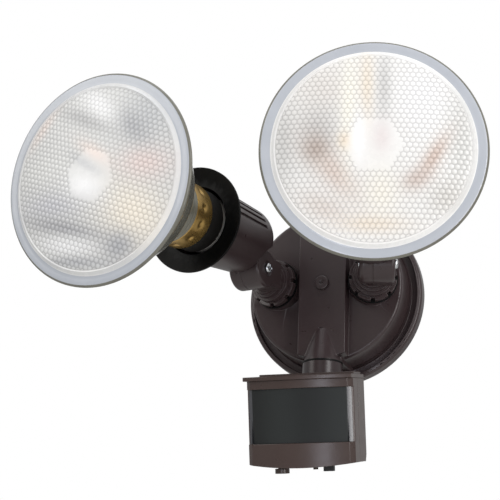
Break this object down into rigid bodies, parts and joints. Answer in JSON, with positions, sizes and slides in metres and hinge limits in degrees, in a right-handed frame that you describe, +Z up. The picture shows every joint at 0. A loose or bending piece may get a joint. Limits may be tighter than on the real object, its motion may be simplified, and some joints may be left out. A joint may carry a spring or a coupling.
{
  "type": "motion sensor security light",
  "caption": "Wall-mounted outdoor security light: round bronze canopy, twin reflector flood lamps on swivel knuckles and a motion sensor head hanging below on a turning neck.",
  "frame": {"origin": "centre of the canopy's back face, on the wall", "axes": "+Y into the wall, -Y out towards the viewer, +Z up, +X to the right as seen by someone facing the wall"},
  "size_m": [0.2721, 0.2427, 0.1965],
  "materials": {
    "bronze_paint": "dark bronze paint, satin",
    "foam": "closed-cell foam",
    "zinc_steel": "zinc plate",
    "black_rubber": "matt black rubber",
    "lens_plastic": "dark grey segmented lens, semi-gloss",
    "circuit_board": "green solder mask",
    "black_plastic": "matt black",
    "detector_can": "nickel plate",
    "dark_screw": "dark plated",
    "screw_chrome": "bright plated",
    "porcelain": "glazed white porcelain",
    "shell_metal": "bright",
    "lamp_lens": "pressed glass with fine hexagonal dimples",
    "lamp_bowl": "grey coated glass, satin",
    "brass": "dull brass",
    "capsule_glass": "clear"
  },
  "bodies": {
    "canopy": {"canopy": "bronze_paint", "canopy_gasket": "foam", "mounting_strap": "zinc_steel", "centre_bolt": "zinc_steel", "centre_cap": "bronze_paint", "neck_seal": "black_rubber"},
    "sensor_neck": {"sensor_neck": "bronze_paint", "neck_nut": "zinc_steel"},
    "sensor_head": {"sensor_rear_housing": "bronze_paint", "sensor_front_housing": "bronze_paint", "sensor_top_cover": "bronze_paint", "sensor_lens": "lens_plastic", "sensor_board": "circuit_board", "sensor_relay": "black_plastic", "motion_detector": "detector_can", "tilt_pin": "zinc_steel", "housing_screws": "dark_screw"},
    "range_dial": {"range_dial": "bronze_paint"},
    "time_switch": {"time_switch": "black_plastic"},
    "left_arm": {"left_swivel_arm": "bronze_paint", "left_lock_nut": "bronze_paint", "left_stem_gasket": "black_rubber", "left_inner_nut": "zinc_steel", "left_knuckle_screw": "screw_chrome", "left_knuckle_nut": "zinc_steel"},
    "left_holder": {"left_lamp_holder": "bronze_paint", "left_holder_gasket": "black_rubber", "left_socket_body": "porcelain", "left_socket_shell": "shell_metal", "left_centre_contact": "shell_metal"},
    "left_lamp": {"left_lamp_lens": "lamp_lens", "left_lamp_reflector": "lamp_bowl", "left_lamp_skirt": "brass", "left_lamp_cap": "shell_metal", "left_lamp_insulator": "porcelain", "left_lamp_tip": "brass", "left_lamp_capsule": "capsule_glass"},
    "right_arm": {"right_swivel_arm": "bronze_paint", "right_lock_nut": "bronze_paint", "right_stem_gasket": "black_rubber", "right_inner_nut": "zinc_steel", "right_knuckle_screw": "screw_chrome", "right_knuckle_nut": "zinc_steel"},
    "right_holder": {"right_lamp_holder": "bronze_paint", "right_holder_gasket": "black_rubber", "right_socket_body": "porcelain", "right_socket_shell": "shell_metal", "right_centre_contact": "shell_metal"},
    "right_lamp": {"right_lamp_lens": "lamp_lens", "right_lamp_reflector": "lamp_bowl", "right_lamp_skirt": "brass", "right_lamp_cap": "shell_metal", "right_lamp_insulator": "porcelain", "right_lamp_tip": "brass", "right_lamp_capsule": "capsule_glass"}
  },
  "joints": [
    {"name": "sensor_pan", "type": "hinge", "parent": "canopy", "child": "sensor_neck", "pos_m": [0, -0.036, -0.0505], "axis": [0, 0, 1], "range_deg": [-20, 60]},
    {"name": "sensor_tilt", "type": "hinge", "parent": "sensor_neck", "child": "sensor_head", "pos_m": [0, -0.036, -0.0642], "axis": [1, 0, 0], "range_deg": [-20, 6]},
    {"name": "range_turn", "type": "hinge", "parent": "sensor_head", "child": "range_dial", "pos_m": [-0.0217, -0.04463, -0.11768], "axis": [0, -0.2164, 0.9763], "range_deg": [-135, 135]},
    {"name": "time_slide", "type": "slide", "parent": "sensor_head", "child": "time_switch", "axis": [1, 0, 0], "range_m": [-0.0014, 0.0014]},
    {"name": "left_swivel", "type": "hinge", "parent": "canopy", "child": "left_arm", "pos_m": [-0.03938, -0.06857, 0.002], "axis": [0.2317, 0.9728, 0], "range_deg": [-90, 90]},
    {"name": "left_tilt", "type": "hinge", "parent": "left_arm", "child": "left_holder", "pos_m": [-0.03938, -0.06857, 0.002], "axis": [0.9728, -0.2317, 0], "range_deg": [-25, 35]},
    {"name": "left_lamp_unscrew", "type": "slide", "parent": "left_holder", "child": "left_lamp", "axis": [-0.2313, -0.9707, -0.0645], "range_m": [0, 0.045]},
    {"name": "right_swivel", "type": "hinge", "parent": "canopy", "child": "right_arm", "pos_m": [0.03938, -0.06857, 0.002], "axis": [-0.2317, 0.9728, 0], "range_deg": [-90, 90]},
    {"name": "right_tilt", "type": "hinge", "parent": "right_arm", "child": "right_holder", "pos_m": [0.03938, -0.06857, 0.002], "axis": [0.9728, 0.2317, 0], "range_deg": [-25, 35]},
    {"name": "right_lamp_unscrew", "type": "slide", "parent": "right_holder", "child": "right_lamp", "axis": [0.2316, -0.9722, -0.0332], "range_m": [0, 0.045]}
  ]
}
